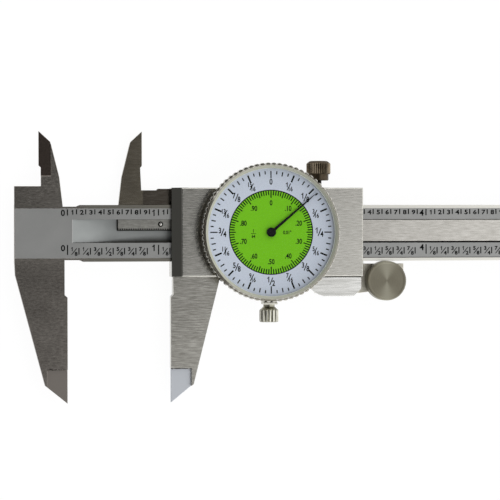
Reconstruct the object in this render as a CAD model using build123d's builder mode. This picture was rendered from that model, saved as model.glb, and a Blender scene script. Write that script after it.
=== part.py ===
from build123d import *
import math
import os

os.makedirs("parts", exist_ok=True)

# Dial caliper for inch work, 6 inch range, lying on its back with the dial up.
# Millimetres. In the notes and values, x runs right from the beam's zero line, y runs up from the
# beam's centre line, towards the inside jaws, and z is height above the beam's scale face.

# Measuring range and running fits
inch = 25.4
opening = 28.9            # how far the jaws stand open as modelled
full_range = 6 * inch
run_play = 0.03           # clearance between sliding faces
shaft_play = 0.02         # radial clearance of a shaft in its bearing
end_play = 0.05           # a shaft's clearance along its axis

# Beam
beam_width = 15.8
beam_thick = 4.0
beam_left = 14.6          # how far the scale band reaches left of the zero line
beam_right = 220.4
band_width = 13.92        # satin scale band, between the two lower edge lands
land_drop = 0.4
relief_drop = 0.45        # the beam's edges dip beside the jaws' roots
relief_end = 4.4
relief_slope = 1.0        # run of the slope at each end of that dip
groove_top = 3.86
groove_bottom = -2.66
groove_depth = 2.5
groove_start = 1.3
groove_cutter = 30.0      # radius of the cutter's run-out at the groove's left end

# Jaws, drawn from the fixed measuring face
jaw_front = 0.4           # the jaws' ground fronts lie this far below the scale face
jaw_mid = 2.15            # depth of the plane between the two inside jaws
jaw_pass = 0.05           # each inside jaw stays this far from that plane
head_left = 14.7
head_slope = 11.55
head_lean = 0.2           # the head's left edge leans in by this much on its way down to the slope
head_block = 13.15        # height of the block at the head's upper left
outer_tip = 47.4          # how far the outside jaws reach below the centre line
outer_shoulder = (6.3, 42.3)
outer_face_top = 17.8     # the measuring faces are relieved above this
outer_slant = 0.6         # height of the slant into the relief
outer_relief = 0.8
moving_relief = 0.6
outer_root = 14.0         # width of the moving outside jaw at the plate
inner_tip = 28.5
inner_edge = 7.9          # the inside jaws' measuring edges lie this far left of the faces
inner_shoulder = (3.25, 3.0)
inner_face_foot = 18.9    # the inside measuring edges are relieved below this
inner_slant = 0.5
inner_relief = 0.6
moving_inner_relief = (0.4, 0.2)    # at the top of the relief and at the neck
inner_root = 6.6          # width of an inside jaw at the beam
inner_waist = (0.9, 2.5)  # its outer side bends this far in, and this far above the head's block
nib_width = 5.7           # the outside jaws' thin tips
nib_start = 37.9
nib_thick = 1.4
knife_depth = 0.9         # how deep the inside jaws are ground towards their edges
knife_width = 3.4
knife_foot = 16.0
neck_top = 12.47
neck_step = (3.5, 0.42)   # the neck is cut lower to the left of this distance from the plate
neck_reach = 1.0          # how far the neck goes in below the plate

# Rack
teeth_per_inch = 40
rack_left = 14.2
rack_back = 3.83
rack_tip = 0.97           # height of the tooth tips
rack_thick = 1.1

# Slider frame
slide_left = 28.95        # the plate's ends, as modelled at this opening
slide_right = 83.0
plate_top = 12.7
plate_bottom = -12.2
plate_height = 2.8
plate_gap = 0.08
plate_edge = 0.25         # chamfer round the plate's other top edges
root_overlap = 0.4        # the outside jaw and the apron reach this far in below the plate
bevel_width = 2.9
bevel_drop = 1.7
back_thick = 1.55
back_gap = 0.05
back_bevel = 0.3
gib_thick = 1.0
gib_end_gap = 1.2
gib_side_gap = 0.1

# Apron, bracket and thumb roller
apron_left = 67.0
apron_bottom = -17.9
apron_corner = 2.2
apron_side = 0.5          # straight part of its left side, above the sweep
apron_sweep = 5.4         # the sweep takes the left side in by this much at the foot
apron_bow = (2.0, -1.0)   # the sweep's middle, from the left side and from half height
apron_front = 0.6
apron_back = 2.7
roller_ahead = 6.9        # the roller's axle stands this far right of the plate
roller_radius = 5.6
roller_front = 1.9
axle_radius = 1.2
axle_end = 0.5            # how far the axle stands out behind the bracket
bracket_thick = 1.1
bracket_left = 70.0
bracket_ahead = 5.7       # from the roller's axle to the bracket's end
bracket_top = -8.7
bracket_bottom = -15.6
bracket_foot = -17.0

# Lock screw
lock_x = 71.0
lock_depth = 1.7          # its axis lies this far below the scale face
lock_thread = 1.05
lock_lift = 0.07          # gap between its tip and the gib when it is loose
lock_collar_radius = 2.84
lock_collar_bottom = 14.82
lock_knob_bottom = 16.56
lock_knob_radius = 3.4
lock_knob_top = 20.29
lock_ridges = 22
ridge_depth = 0.25

# Depth bar
bar_left = 62.0
bar_play = 0.15
bar_pad = 10.0
bar_notch = (3.2, 2.4)
bar_notch_slant = 1.0

# Dial case
dial_x = 55.75
case_radius = 17.6
case_floor = 1.0
case_height = 5.9
pocket_length = 24.0
pocket_width = 10.4
boss_inset = 0.75         # the clamp's boss stops this far short of the shoe's back
boss_root = 2.0           # how far the boss goes into the case
boss_hole = 1.5           # how far its threaded hole goes on into the case

# Bezel, dial face and crystal
bezel_play = 0.08
bezel_skirt = 1.5         # how far the bezel reaches down over the case
knurl_wall = 1.67
knurl_depth = 0.45
knurl_count = 74
knurl_height = 3.0
rim_wall = 1.22           # at the rim's foot, on the knurled band
rim_edge = 0.8            # at its top
rim_rise = 0.7            # the rim stands this far above the crystal
dial_gap = 0.5
dial_thick = 0.4
dial_hole = 1.0
crystal_gap = 0.15        # between the pointer's hub and the crystal
crystal_thick = 0.7

# Gear train
pressure_angle = 20.0
addendum = 0.9            # in modules
dedendum = 1.2
tooth_play = 0.03         # each tooth is thinner than its space by this much at the pitch line
rack_pinion_teeth = 16
drive_teeth = 10
centre_teeth = 25
train_module = 0.32
rack_pinion_width = 1.0
pinion_turn = 186.0       # direction from the dial's axis to the rack pinion, degrees
arbor_radius = 0.6
wheel_height = 4.8        # underside of the centre gear
wheel_thick = 0.6
drive_overhang = 0.2      # the drive gear is wider than the centre gear on each side
bridge_top = 7.4
bridge_thick = 0.7
bridge_width = 4.2
bridge_span = 17.0
bridge_foot = 1.8
pointer_gap = 0.3
pointer_thick = 0.2
pointer_short = 1.2       # the pointer's tip stays this far inside the case's radius
pointer_root_width = 0.9
pointer_tip_width = 0.16
hub_radius = 1.28
hub_height = 0.55

# Bezel clamp
clamp_height = 5.0
clamp_thread = 0.8
clamp_reach = 1.0         # how far the thread goes into the case
clamp_collar = 1.6
clamp_cone = 1.35
clamp_knob_radius = 2.7
clamp_knob_length = 3.6
clamp_ridges = 16
shoe_width = 3.9
shoe_thick = 0.6
shoe_gap = 0.08
shoe_lift = 0.3           # the shoe stays this far above the plate
shoe_lip = 1.2            # how far the shoe reaches up beside the knurled band
foot_gap = 0.4            # between the clamp's foot and the bezel

# End stop
stop_length = 6.0
stop_width = 9.0
stop_inset = 2.0
stop_corner = 1.0

# Worked out from the sizes above
half_beam = beam_width / 2
half_band = band_width / 2
rest_depth = beam_thick + back_gap + back_thick
bar_right = beam_right + opening
stop_thick = back_gap + back_thick
zero_x = -(bar_right - head_left) / 2
line_y = (outer_tip - inner_tip) / 2
gib_bottom = half_beam + run_play
slot_top = gib_bottom + gib_thick
slot_bottom = -half_beam - run_play
plate_middle = ((slide_left + slide_right) / 2, (plate_top + plate_bottom) / 2)
plate_length = slide_right - slide_left
plate_width = plate_top - plate_bottom
nib_relief = (beam_thick - jaw_front - nib_thick) / 2
roller_x = slide_right + roller_ahead
roller_y = -half_beam - shaft_play - roller_radius
bracket_right = roller_x + bracket_ahead
pitch = inch / teeth_per_inch
rack_module = pitch / math.pi
train_distance = (drive_teeth + centre_teeth) / 2 * train_module
pinion_x = dial_x + train_distance * math.cos(math.radians(pinion_turn))
pinion_y = rack_tip + rack_module - rack_pinion_teeth * rack_module / 2
dial_y = pinion_y - train_distance * math.sin(math.radians(pinion_turn))
rack_teeth = math.ceil((pinion_x + full_range - opening + 3 * pitch - rack_left) / pitch)
case_top = plate_height + case_height
floor_top = plate_height + case_floor
bezel_bore = case_radius + bezel_play
bezel_foot = case_top - bezel_skirt
knurl_radius = bezel_bore + knurl_wall
knurl_top = bezel_foot + knurl_height
rim_foot = bezel_bore + rim_wall
rim_radius = bezel_bore + rim_edge
dial_top = case_top + dial_gap + dial_thick
pointer_level = dial_top + pointer_gap
pointer_turn = 90 - 360 * (opening / inch % 1)
pointer_reach = case_radius - pointer_short
crystal_top = pointer_level + hub_height + crystal_gap + crystal_thick
rim_top = crystal_top + rim_rise
shoe_back = knurl_radius + shoe_gap
shoe_front = shoe_back + shoe_thick
boss_out = shoe_back - boss_inset
foot_top = bezel_foot - foot_gap


def at(x, y, z=0.0):
    """A level plane at a place given from the zero line, the centre line and the scale face."""
    return Plane(origin=(zero_x + x, line_y + y, rest_depth + z))


def upright(x, y, turn=0.0):
    """A standing plane: its sketch x runs level, turned from x by some degrees, and its y runs up."""
    along = math.radians(turn)
    return Plane(
        origin=(zero_x + x, line_y + y, rest_depth),
        x_dir=(math.cos(along), math.sin(along), 0),
        z_dir=(math.sin(along), -math.cos(along), 0),
    )


def crosswise(x, y, z, outward):
    """A standing plane that faces along y, for pieces whose axis runs across the beam."""
    return Plane(origin=at(x, y, z).origin, x_dir=(1, 0, 0), z_dir=(0, outward, 0))


def involute(angle):
    return math.tan(angle) - angle


def gear_outline(teeth, module, first_tooth):
    """Corner points of a spur gear, each flank drawn as the chord of its involute."""
    pitch_r = teeth * module / 2
    base_r = pitch_r * math.cos(math.radians(pressure_angle))
    tip_r = pitch_r + addendum * module
    root_r = pitch_r - dedendum * module
    half_tooth = (math.pi * module / 2 - tooth_play) / 2 / pitch_r
    at_base = half_tooth + involute(math.radians(pressure_angle))
    at_tip = at_base - involute(math.acos(base_r / tip_r))
    corners = ((root_r, -at_base), (tip_r, -at_tip), (tip_r, at_tip), (root_r, at_base))
    points = []
    for tooth in range(teeth):
        middle = math.radians(first_tooth) + tooth * 2 * math.pi / teeth
        for radius, turn in corners:
            points.append((radius * math.cos(middle + turn), radius * math.sin(middle + turn)))
    return points


def meshed_tooth(driver_tooth, driver_teeth, line, driven_teeth):
    """Angle of a tooth on the driven gear whose spaces take the driver's teeth on the centre line."""
    past_tooth = (line - driver_tooth) / (360 / driver_teeth) % 1
    return line + 180 + (past_tooth + 0.5) * 360 / driven_teeth


def ridged_outline(count, tip_r, depth):
    """Corner points of straight knurling: a ridge and a valley for each tooth."""
    points = []
    for step in range(2 * count):
        radius = tip_r if step % 2 == 0 else tip_r - depth
        turn = math.pi * step / count
        points.append((radius * math.cos(turn), radius * math.sin(turn)))
    return points


# Beam with both fixed jaws, ground from one piece
fixed_inner_foot = inner_root - inner_edge

with BuildPart() as beam:
    with BuildSketch(at(0, 0, -beam_thick)):
        with BuildLine():
            low, high = relief_drop - half_beam, half_beam - relief_drop
            Polyline(
                (-head_left, -half_beam), (-outer_relief, -half_beam), (-outer_relief, low),
                (relief_end - relief_slope, low), (relief_end, -half_beam), (beam_right, -half_beam),
                (beam_right, half_beam), (relief_end - relief_slope, half_beam),
                (relief_end - 2 * relief_slope, high), (fixed_inner_foot, high),
                (fixed_inner_foot, half_beam), (-head_left, half_beam), close=True,
            )
        make_face()
    extrude(amount=beam_thick - land_drop)
    # Raised scale band
    with BuildSketch(at((beam_right - beam_left) / 2, 0, -land_drop)):
        Rectangle(beam_right + beam_left, band_width)
    extrude(amount=land_drop)
    # Outside jaw
    with BuildSketch(at(0, 0, -beam_thick)):
        with BuildLine():
            Polyline(
                (0, -outer_tip), (0, -outer_face_top), (-outer_relief, -outer_face_top + outer_slant),
                (-outer_relief, -half_beam), (-head_left, -half_beam),
                (-head_left + head_lean, -head_slope), (-outer_shoulder[0], -outer_shoulder[1]),
                close=True,
            )
        make_face()
    extrude(amount=beam_thick - jaw_front)
    # Inside jaw, in front of the moving one
    with BuildSketch(at(0, 0, jaw_pass - jaw_mid)):
        with BuildLine():
            Polyline(
                (-head_left, half_beam), (-head_left, head_block), (inner_relief - inner_edge, head_block),
                (inner_relief - inner_edge, inner_face_foot - inner_slant), (-inner_edge, inner_face_foot),
                (-inner_edge, inner_tip), (inner_shoulder[0] - inner_edge, inner_tip - inner_shoulder[1]),
                (fixed_inner_foot - inner_waist[0], head_block + inner_waist[1]),
                (fixed_inner_foot, half_beam), close=True,
            )
        make_face()
    extrude(amount=jaw_mid - jaw_pass - jaw_front)
    # Groove for the rack and the depth bar, run out by the cutter at its left end
    with BuildSketch(upright(0, groove_top)):
        with BuildLine():
            run_out = math.sqrt(groove_cutter ** 2 - (groove_cutter - groove_depth) ** 2)
            floor_start = groove_start + run_out
            half_turn = math.acos(1 - groove_depth / groove_cutter) / 2
            run_out_middle = (
                floor_start - groove_cutter * math.sin(half_turn),
                groove_cutter * (1 - math.cos(half_turn)) - groove_depth,
            )
            ThreePointArc((groove_start, 0), run_out_middle, (floor_start, -groove_depth))
            Polyline(
                (floor_start, -groove_depth), (beam_right, -groove_depth), (beam_right, 0),
                (groove_start, 0),
            )
        make_face()
    extrude(amount=groove_top - groove_bottom, mode=Mode.SUBTRACT)
    # Thin nib at the outside jaw's tip, ground from both sides
    for level in (-beam_thick, -jaw_front - nib_relief):
        with BuildSketch(at(-nib_width, -nib_start, level)):
            Rectangle(2 * nib_width, outer_tip, align=(Align.MIN, Align.MAX))
        extrude(amount=nib_relief, mode=Mode.SUBTRACT)
    # Inside jaw's knife edge, ground from the front
    with BuildSketch(at(-inner_edge, knife_foot, -jaw_front)):
        Rectangle(2 * knife_width, inner_tip, align=(Align.CENTER, Align.MIN))
    extrude(amount=-knife_depth, mode=Mode.SUBTRACT)
beam.part.label = "beam"
export_step(beam.part, "parts/beam.step")

# Rack on the groove's floor, its teeth pointing down the beam's width
with BuildPart() as rack:
    with BuildSketch(at(rack_left, 0, -groove_depth)):
        with BuildLine():
            slope = math.tan(math.radians(pressure_angle))
            half_tip = (pitch / 2 - tooth_play) / 2 - rack_module * slope
            valley = rack_tip + (pitch / 2 - half_tip) / slope
            outline = [(0, rack_back), (0, valley)]
            for tooth in range(rack_teeth):
                middle = (tooth + 0.5) * pitch
                outline += [(middle - half_tip, rack_tip), (middle + half_tip, rack_tip)]
                outline += [(middle + pitch / 2, valley)]
            Polyline(outline + [(rack_teeth * pitch, rack_back)], close=True)
        make_face()
    extrude(amount=rack_thick)
rack.part.label = "rack"
export_step(rack.part, "parts/rack.step")

# End stop behind the beam, which the back plate runs up against
with BuildPart() as end_stop:
    with BuildSketch(at(beam_right - stop_inset - stop_length / 2, 0, -beam_thick)):
        outline = Rectangle(stop_length, stop_width)
        chamfer(outline.vertices(), length=stop_corner)
    extrude(amount=-stop_thick)
end_stop.part.label = "end_stop"
export_step(end_stop.part, "parts/end_stop.step")

# Slider frame: plate, rails, moving jaws and apron in one piece
with BuildPart() as slider_frame:
    with BuildSketch(at(*plate_middle, plate_gap)):
        Rectangle(plate_length, plate_width)
    extrude(amount=plate_height - plate_gap)
    left_end = slider_frame.faces().sort_by(Axis.X)[0]
    chamfer(left_end.edges().sort_by(Axis.Z)[-1], length=bevel_drop, length2=bevel_width,
            reference=left_end)
    top_edges = slider_frame.faces().sort_by(Axis.Z)[-1].edges().sort_by(Axis.X)
    chamfer(top_edges[1:], length=plate_edge)
    # Upper and lower rails beside the beam
    with BuildSketch(at(0, 0, -beam_thick - back_gap)):
        with Locations((slide_left, plate_top)):
            Rectangle(plate_length, plate_top - slot_top, align=(Align.MIN, Align.MAX))
        with Locations((slide_left, plate_bottom)):
            Rectangle(plate_length, slot_bottom - plate_bottom, align=(Align.MIN, Align.MIN))
    extrude(amount=beam_thick + back_gap + plate_gap)
    # Outside jaw
    with BuildSketch(at(opening, 0, -beam_thick)):
        with BuildLine():
            root_top = plate_bottom + root_overlap
            Polyline(
                (0, -outer_tip), (outer_shoulder[0], -outer_shoulder[1]),
                (outer_root, root_top), (moving_relief, root_top),
                (moving_relief, -outer_face_top + outer_slant), (0, -outer_face_top), close=True,
            )
        make_face()
    extrude(amount=beam_thick - jaw_front)
    # Inside jaw and the neck that carries it, behind the fixed one
    with BuildSketch(at(opening, 0, -beam_thick)):
        with BuildLine():
            plate_x = slide_left - opening
            neck_end = plate_x + neck_reach
            Polyline(
                (-inner_edge, inner_tip),
                (-inner_edge - inner_shoulder[0], inner_tip - inner_shoulder[1]),
                (-inner_edge - inner_root + inner_waist[0], head_block + inner_waist[1]),
                (-inner_edge - inner_root, gib_bottom),
                (neck_end, gib_bottom), (neck_end, neck_top), (plate_x - neck_step[0], neck_top),
                (plate_x - neck_step[0] - neck_step[1], neck_top - neck_step[1]),
                (-inner_edge - moving_inner_relief[1], neck_top - neck_step[1]),
                (-inner_edge - moving_inner_relief[0], inner_face_foot - inner_slant),
                (-inner_edge, inner_face_foot), close=True,
            )
        make_face()
    extrude(amount=beam_thick - jaw_mid - jaw_pass)
    # Apron below the plate's right end
    with BuildSketch(at(0, 0, -apron_back)):
        with BuildLine():
            left_foot = (apron_left + apron_sweep, apron_bottom)
            left_top = (apron_left, plate_bottom - apron_side)
            sweep_middle = (apron_left + apron_bow[0], (plate_bottom + apron_bottom) / 2 + apron_bow[1])
            Polyline(
                left_top, (apron_left, root_top), (slide_right, root_top),
                (slide_right, apron_bottom + apron_corner), (slide_right - apron_corner, apron_bottom),
                left_foot,
            )
            ThreePointArc(left_foot, sweep_middle, left_top)
        make_face()
    extrude(amount=apron_back - apron_front)
    # Nib and knife edge of the moving jaws
    for level in (-beam_thick, -jaw_front - nib_relief):
        with BuildSketch(at(opening + nib_width, -nib_start, level)):
            Rectangle(2 * nib_width, outer_tip, align=(Align.MAX, Align.MAX))
        extrude(amount=nib_relief, mode=Mode.SUBTRACT)
    with BuildSketch(at(opening - inner_edge, knife_foot, -beam_thick)):
        Rectangle(2 * knife_width, inner_tip, align=(Align.CENTER, Align.MIN))
    extrude(amount=knife_depth, mode=Mode.SUBTRACT)
    # Pad under the plate that the depth bar is fixed to
    with BuildSketch(at(bar_left + bar_pad / 2, (groove_top + groove_bottom) / 2)):
        Rectangle(bar_pad, groove_top - groove_bottom - 2 * bar_play)
    extrude(amount=plate_gap)
    # Bearing for the rack pinion's arbor
    with BuildSketch(at(pinion_x, pinion_y)):
        Circle(arbor_radius + shaft_play)
    extrude(amount=plate_height, mode=Mode.SUBTRACT)
    # Threaded hole through the upper rail for the lock screw
    with BuildSketch(crosswise(lock_x, slot_top, -lock_depth, 1)):
        Circle(lock_thread + shaft_play)
    extrude(amount=plate_top - slot_top, mode=Mode.SUBTRACT)
slider_frame.part.label = "slider_frame"
export_step(slider_frame.part, "parts/slider_frame.step")

# Back plate, which closes the slider behind the beam and is the face that the tool lies on
with BuildPart() as back_plate:
    with BuildSketch(at(*plate_middle, -rest_depth)):
        Rectangle(plate_length, plate_width)
    extrude(amount=back_thick)
    chamfer(back_plate.faces().sort_by(Axis.Z)[0].edges(), length=back_bevel)
back_plate.part.label = "back_plate"
export_step(back_plate.part, "parts/back_plate.step")

# Gib, a wear strip between the upper rail and the beam
with BuildPart() as gib:
    with BuildSketch(at(plate_middle[0], gib_bottom, gib_side_gap - beam_thick)):
        Rectangle(plate_length - 2 * gib_end_gap, gib_thick, align=(Align.CENTER, Align.MIN))
    extrude(amount=beam_thick - 2 * gib_side_gap)
gib.part.label = "gib"
export_step(gib.part, "parts/gib.step")

# Lock screw: a turned thread and collar under a knurled knob
with BuildPart() as lock_screw:
    axis_plane = Plane(origin=at(lock_x, 0, -lock_depth).origin)
    with BuildSketch(axis_plane):
        with BuildLine():
            Polyline(
                (0, slot_top + lock_lift), (lock_thread, slot_top + lock_lift),
                (lock_thread, lock_collar_bottom), (lock_collar_radius, lock_collar_bottom),
                (lock_collar_radius, lock_knob_bottom), (0, lock_knob_bottom), close=True,
            )
        make_face()
    revolve(axis=Axis(axis_plane.origin, (0, 1, 0)))
    with BuildSketch(crosswise(lock_x, lock_knob_bottom, -lock_depth, 1)):
        with BuildLine():
            Polyline(ridged_outline(lock_ridges, lock_knob_radius, ridge_depth), close=True)
        make_face()
    extrude(amount=lock_knob_top - lock_knob_bottom)
lock_screw.part.label = "lock_screw"
export_step(lock_screw.part, "parts/lock_screw.step")

# Depth bar, which fills the groove to the right of the slider and slides out of the beam's end
bar_bottom = rack_thick + back_gap - groove_depth
with BuildPart() as depth_bar:
    with BuildSketch(at(bar_left, groove_bottom + bar_play, bar_bottom)):
        with BuildLine():
            bar_length = bar_right - bar_left
            bar_width = groove_top - groove_bottom - 2 * bar_play
            notch_x = bar_length - bar_notch[0]
            notch_y = bar_width - bar_notch[1]
            Polyline(
                (0, 0), (bar_length, 0), (bar_length, notch_y), (notch_x, notch_y),
                (notch_x - bar_notch_slant, bar_width), (0, bar_width), close=True,
            )
        make_face()
    extrude(amount=-bar_bottom)
depth_bar.part.label = "depth_bar"
export_step(depth_bar.part, "parts/depth_bar.step")

# Bracket behind the apron, which holds the thumb roller against the beam's lower edge
bracket_back = -apron_back - bracket_thick
with BuildPart() as roller_bracket:
    with BuildSketch(at(0, 0, bracket_back)):
        with BuildLine():
            Polyline(
                (bracket_left, plate_bottom), (slide_right, plate_bottom), (slide_right, bracket_top),
                (bracket_right, bracket_top), (bracket_right, bracket_bottom),
                (slide_right, bracket_foot), (bracket_left, bracket_foot), close=True,
            )
        make_face()
        with Locations((roller_x, roller_y)):
            Circle(axle_radius + shaft_play, mode=Mode.SUBTRACT)
    extrude(amount=bracket_thick)
roller_bracket.part.label = "roller_bracket"
export_step(roller_bracket.part, "parts/roller_bracket.step")

# Thumb roller, turned with its stub axle
with BuildPart() as thumb_roller:
    with BuildSketch(at(roller_x, roller_y, end_play - apron_back)):
        Circle(roller_radius)
    extrude(amount=roller_front + apron_back - end_play)
    with BuildSketch(at(roller_x, roller_y, bracket_back - axle_end)):
        Circle(axle_radius)
    extrude(amount=bracket_thick + axle_end + end_play)
thumb_roller.part.label = "thumb_roller"
export_step(thumb_roller.part, "parts/thumb_roller.step")

# Dial case: a disc with a pocket for the gear train and a boss for the bezel clamp
with BuildPart() as dial_case:
    with BuildSketch(at(dial_x, dial_y, plate_height)):
        Circle(case_radius)
    extrude(amount=case_height)
    with BuildSketch(at(dial_x, dial_y - boss_out, plate_height)):
        Rectangle(shoe_width, boss_out - case_radius + boss_root, align=(Align.CENTER, Align.MIN))
    extrude(amount=foot_top - plate_height)
    with BuildSketch(at(dial_x, dial_y, floor_top)):
        Rectangle(pocket_length, pocket_width, rotation=pinion_turn)
    extrude(amount=case_height, mode=Mode.SUBTRACT)
    with BuildSketch(at(0, 0, plate_height)):
        with Locations((pinion_x, pinion_y), (dial_x, dial_y)):
            Circle(arbor_radius + shaft_play)
    extrude(amount=case_floor, mode=Mode.SUBTRACT)
    with BuildSketch(crosswise(dial_x, dial_y - boss_out, clamp_height, -1)):
        Circle(clamp_thread + shaft_play)
    extrude(amount=-(boss_out - case_radius + boss_hole), mode=Mode.SUBTRACT)
dial_case.part.label = "dial_case"
export_step(dial_case.part, "parts/dial_case.step")

# Rack pinion on the arbor that carries its turns up into the case
rack_tooth_past = (pinion_x - rack_left - pitch / 2) / pitch % 1
pinion_tooth = 90 + (rack_tooth_past + 0.5) * 360 / rack_pinion_teeth
pinion_top = rack_thick - groove_depth
pinion_end = wheel_height + wheel_thick + drive_overhang
with BuildPart() as rack_pinion:
    with BuildSketch(at(pinion_x, pinion_y, pinion_top - rack_pinion_width)):
        with BuildLine():
            Polyline(gear_outline(rack_pinion_teeth, rack_module, pinion_tooth), close=True)
        make_face()
    extrude(amount=rack_pinion_width)
    with BuildSketch(at(pinion_x, pinion_y, pinion_top)):
        Circle(arbor_radius)
    extrude(amount=pinion_end - pinion_top)
rack_pinion.part.label = "rack_pinion"
export_step(rack_pinion.part, "parts/rack_pinion.step")

with BuildPart() as drive_gear:
    with BuildSketch(at(pinion_x, pinion_y, wheel_height - drive_overhang)):
        with BuildLine():
            Polyline(gear_outline(drive_teeth, train_module, pinion_tooth), close=True)
        make_face()
        Circle(arbor_radius, mode=Mode.SUBTRACT)
    extrude(amount=wheel_thick + 2 * drive_overhang)
drive_gear.part.label = "drive_gear"
export_step(drive_gear.part, "parts/drive_gear.step")

# Centre gear and the arbor that stands up through the dial to carry the pointer
centre_tooth = meshed_tooth(pinion_tooth, drive_teeth, pinion_turn - 180, centre_teeth)
with BuildPart() as centre_gear:
    with BuildSketch(at(dial_x, dial_y, wheel_height)):
        with BuildLine():
            Polyline(gear_outline(centre_teeth, train_module, centre_tooth), close=True)
        make_face()
    extrude(amount=wheel_thick)
    with BuildSketch(at(dial_x, dial_y, plate_height + end_play)):
        Circle(arbor_radius)
    extrude(amount=pointer_level - plate_height - end_play)
centre_gear.part.label = "centre_gear"
export_step(centre_gear.part, "parts/centre_gear.step")

# Bridge: a bent strap with two feet on the case's floor, the upper bearing of the centre arbor
with BuildPart() as bridge:
    with BuildSketch(upright(dial_x, dial_y, pinion_turn)):
        with BuildLine():
            half_span = bridge_span / 2
            inner_span = half_span - bridge_thick
            Polyline(
                (-half_span - bridge_foot, floor_top), (-inner_span, floor_top),
                (-inner_span, bridge_top - bridge_thick), (inner_span, bridge_top - bridge_thick),
                (inner_span, floor_top), (half_span + bridge_foot, floor_top),
                (half_span + bridge_foot, floor_top + bridge_thick), (half_span, floor_top + bridge_thick),
                (half_span, bridge_top), (-half_span, bridge_top), (-half_span, floor_top + bridge_thick),
                (-half_span - bridge_foot, floor_top + bridge_thick), close=True,
            )
        make_face()
    extrude(amount=bridge_width / 2, both=True)
    with BuildSketch(at(dial_x, dial_y, bridge_top - bridge_thick)):
        Circle(arbor_radius + shaft_play)
    extrude(amount=bridge_thick, mode=Mode.SUBTRACT)
bridge.part.label = "bridge"
export_step(bridge.part, "parts/bridge.step")

# Pointer: a round hub and a long tapering hand
with BuildPart() as pointer:
    with BuildSketch(at(dial_x, dial_y, pointer_level)):
        Circle(hub_radius)
    extrude(amount=hub_height)
    with BuildSketch(at(dial_x, dial_y, pointer_level).rotated((0, 0, pointer_turn))):
        with BuildLine():
            Polyline(
                (0, -pointer_root_width / 2), (pointer_reach, -pointer_tip_width / 2),
                (pointer_reach, pointer_tip_width / 2), (0, pointer_root_width / 2), close=True,
            )
        make_face()
    extrude(amount=pointer_thick)
pointer.part.label = "pointer"
export_step(pointer.part, "parts/pointer.step")

# Bezel: a knurled band that turns on the case, and above it the rim that holds dial and crystal
with BuildPart() as bezel:
    with BuildSketch(at(dial_x, dial_y, bezel_foot)):
        with BuildLine():
            Polyline(ridged_outline(knurl_count, knurl_radius, knurl_depth), close=True)
        make_face()
        Circle(bezel_bore, mode=Mode.SUBTRACT)
    extrude(amount=knurl_height)
    rim_plane = upright(dial_x, dial_y)
    with BuildSketch(rim_plane):
        with BuildLine():
            Polyline(
                (bezel_bore, knurl_top), (rim_foot, knurl_top), (rim_radius, rim_top),
                (bezel_bore, crystal_top), close=True,
            )
        make_face()
    revolve(axis=Axis(rim_plane.origin, (0, 0, 1)))
bezel.part.label = "bezel"
export_step(bezel.part, "parts/bezel.step")

with BuildPart() as dial_face:
    with BuildSketch(at(dial_x, dial_y, dial_top - dial_thick)):
        Circle(bezel_bore)
        Circle(dial_hole, mode=Mode.SUBTRACT)
    extrude(amount=dial_thick)
dial_face.part.label = "dial_face"
export_step(dial_face.part, "parts/dial_face.step")

with BuildPart() as crystal:
    with BuildSketch(at(dial_x, dial_y, crystal_top - crystal_thick)):
        Circle(bezel_bore)
    extrude(amount=crystal_thick)
crystal.part.label = "crystal"
export_step(crystal.part, "parts/crystal.step")

# Bezel clamp: a shoe whose lip stands beside the knurled band, and the screw that presses it on
with BuildPart() as clamp_shoe:
    with BuildSketch(upright(dial_x - shoe_width / 2, dial_y, -90)):
        with BuildLine():
            shoe_foot = plate_height + shoe_lift
            Polyline(
                (boss_out, shoe_foot), (shoe_front, shoe_foot), (shoe_front, bezel_foot + shoe_lip),
                (shoe_back, bezel_foot + shoe_lip), (shoe_back, foot_top), (boss_out, foot_top),
                close=True,
            )
        make_face()
    extrude(amount=-shoe_width)
    with BuildSketch(crosswise(dial_x, dial_y - boss_out, clamp_height, -1)):
        Circle(clamp_thread + shaft_play)
    extrude(amount=shoe_front - boss_out, mode=Mode.SUBTRACT)
clamp_shoe.part.label = "clamp_shoe"
export_step(clamp_shoe.part, "parts/clamp_shoe.step")

with BuildPart() as bezel_clamp_screw:
    thread_start = case_radius - clamp_reach
    cone_start = shoe_front + shaft_play
    knob_start = cone_start + clamp_cone
    axis_plane = Plane(origin=at(dial_x, dial_y, clamp_height).origin)
    with BuildSketch(axis_plane):
        with BuildLine():
            Polyline(
                (0, -thread_start), (clamp_thread, -thread_start), (clamp_thread, -cone_start),
                (clamp_collar, -cone_start), (clamp_knob_radius - ridge_depth, -knob_start),
                (0, -knob_start), close=True,
            )
        make_face()
    revolve(axis=Axis(axis_plane.origin, (0, 1, 0)))
    with BuildSketch(crosswise(dial_x, dial_y - knob_start, clamp_height, -1)):
        with BuildLine():
            Polyline(ridged_outline(clamp_ridges, clamp_knob_radius, ridge_depth), close=True)
        make_face()
    extrude(amount=clamp_knob_length)
bezel_clamp_screw.part.label = "bezel_clamp_screw"
export_step(bezel_clamp_screw.part, "parts/bezel_clamp_screw.step")
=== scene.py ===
import math

import bmesh
import bpy
from mathutils import Matrix, Vector


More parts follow.
